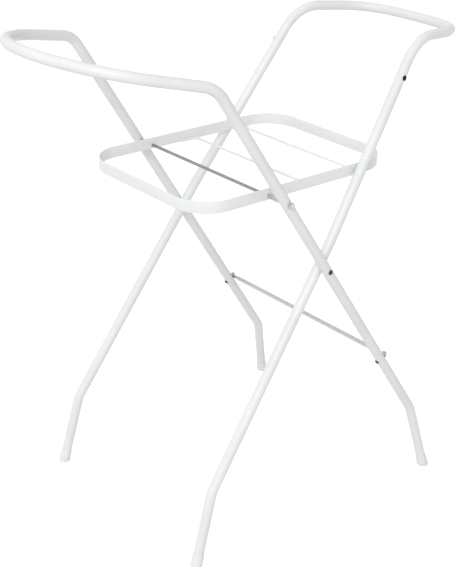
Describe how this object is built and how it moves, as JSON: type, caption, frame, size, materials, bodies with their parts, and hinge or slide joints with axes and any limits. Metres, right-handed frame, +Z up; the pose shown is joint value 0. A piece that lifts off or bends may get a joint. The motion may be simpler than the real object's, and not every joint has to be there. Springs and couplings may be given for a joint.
{
  "type": "baby bath stand",
  "caption": "Folding stand for a baby bath: bent tube frames crossed like scissors, arched bows that carry the bath, and a hanging shelf band hooked on studs.",
  "frame": {"origin": "on the floor, under the middle of the outline's box", "axes": "+X from the outer frame's bow to the inner frame's bow, +Y across the stand, +Z up; the stand is mirrored about the X-Z plane"},
  "size_m": [0.9176, 0.525, 0.9391],
  "materials": {
    "tube_paint": "white powder coat, satin",
    "band_paint": "white powder coat, satin",
    "foot_plastic": "moulded, matte",
    "spacer_plastic": "moulded, matte",
    "black_plastic": "moulded, matte",
    "bright_zinc": "zinc plated, bright",
    "zinc": "zinc plated, dull",
    "dark_steel": "blackened, satin"
  },
  "bodies": {
    "outer": {"outer_frame": "tube_paint", "outer_foot_cap_left": "foot_plastic", "outer_foot_cap_right": "foot_plastic", "pivot_rivets": "dark_steel", "pivot_spacers": "spacer_plastic", "shelf_rod": "zinc", "rod_sleeves": "bright_zinc", "rod_washers": "bright_zinc", "rod_cap_nuts": "bright_zinc", "cross_bar": "bright_zinc", "cross_bar_screws": "dark_steel", "cross_bar_nuts": "zinc"},
    "inner": {"inner_frame": "tube_paint", "inner_foot_cap_left": "foot_plastic", "inner_foot_cap_right": "foot_plastic", "hook_studs": "band_paint", "tube_plugs": "black_plastic"},
    "shelf": {"shelf_band": "band_paint", "shelf_wire_middle": "band_paint", "shelf_wire_end": "band_paint"}
  },
  "joints": [
    {"name": "frame_fold", "type": "hinge", "parent": "outer", "child": "inner", "pos_m": [0.02425, 0, 0.51], "axis": [0, -1, 0], "range_deg": [0, 60]},
    {"name": "shelf_tilt", "type": "hinge", "parent": "outer", "child": "shelf", "pos_m": [-0.07817, 0, 0.66], "axis": [0, -1, 0], "range_deg": [0, 60]}
  ],
  "couplings": [
    {"joint": "shelf_tilt", "follows": "frame_fold", "ratio": 1}
  ]
}
